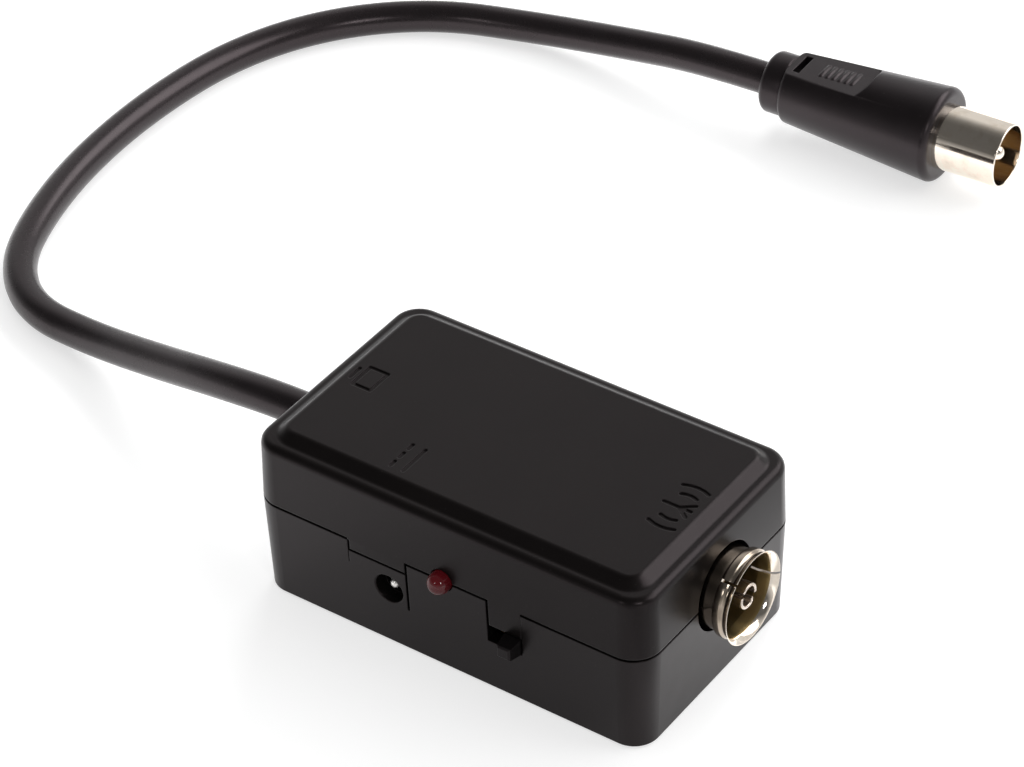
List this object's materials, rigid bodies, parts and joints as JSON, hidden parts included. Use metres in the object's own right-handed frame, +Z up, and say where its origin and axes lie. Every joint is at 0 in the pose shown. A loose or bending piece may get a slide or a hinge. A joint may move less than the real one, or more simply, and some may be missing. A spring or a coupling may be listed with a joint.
{
  "type": "in-line aerial amplifier",
  "caption": "Small moulded in-line aerial amplifier box with coaxial socket, power jack, lamp and slide switch, and a short lead ending in a coaxial aerial plug.",
  "frame": {"origin": "centre of the box's underside, on the surface that it rests on", "axes": "+X towards the aerial socket along the box's long side, -Y towards the side with the power jack, lamp and switch, +Z up"},
  "size_m": [0.141, 0.1325, 0.0246],
  "materials": {
    "casing_plastic": "fine moulded satin",
    "jack_plastic": "satin",
    "knob_plastic": "satin",
    "board_laminate": "paper laminate",
    "nickel_plate": "bright nickel plating",
    "tinned_wire": "tinned",
    "brown_insulator": "matt",
    "red_lens": "tinted, glossy",
    "lead_jacket": "satin",
    "white_dielectric": "waxy",
    "tie_nylon": "natural nylon",
    "plug_moulding": "satin",
    "chip_epoxy": "matt",
    "ferrite": "sintered",
    "ceramic": "matt",
    "capacitor_sleeve": "printed film sleeve, left plain"
  },
  "bodies": {
    "casing": {"upper_shell": "casing_plastic", "lower_shell": "casing_plastic", "circuit_board": "board_laminate", "socket_shell": "nickel_plate", "socket_insulator": "brown_insulator", "socket_centre_contact": "nickel_plate", "dc_jack_body": "jack_plastic", "dc_jack_pin": "nickel_plate", "dc_jack_spring": "nickel_plate", "dc_jack_terminals": "nickel_plate", "indicator_lamp": "red_lens", "lamp_legs": "tinned_wire", "switch_can": "nickel_plate", "switch_base": "brown_insulator", "switch_terminals": "nickel_plate", "output_lead": "lead_jacket", "lead_jacket_end": "lead_jacket", "lead_braid": "tinned_wire", "lead_dielectric": "white_dielectric", "lead_core": "tinned_wire", "lead_tie": "tie_nylon", "plug_body": "plug_moulding", "plug_sleeve": "nickel_plate", "plug_insulator": "brown_insulator", "plug_pin": "nickel_plate", "amplifier_transistor": "chip_epoxy", "drum_choke": "ferrite", "ferrite_transformer": "ferrite", "ceramic_capacitors": "ceramic", "electrolytic_capacitor": "capacitor_sleeve", "chip_resistors": "chip_epoxy", "voltage_regulator": "chip_epoxy"},
    "slider": {"switch_slider": "knob_plastic", "switch_contact": "nickel_plate"}
  },
  "joints": [
    {"name": "switch_slide", "type": "slide", "parent": "casing", "child": "slider", "axis": [-1, 0, 0], "range_m": [0, 0.0025]}
  ]
}
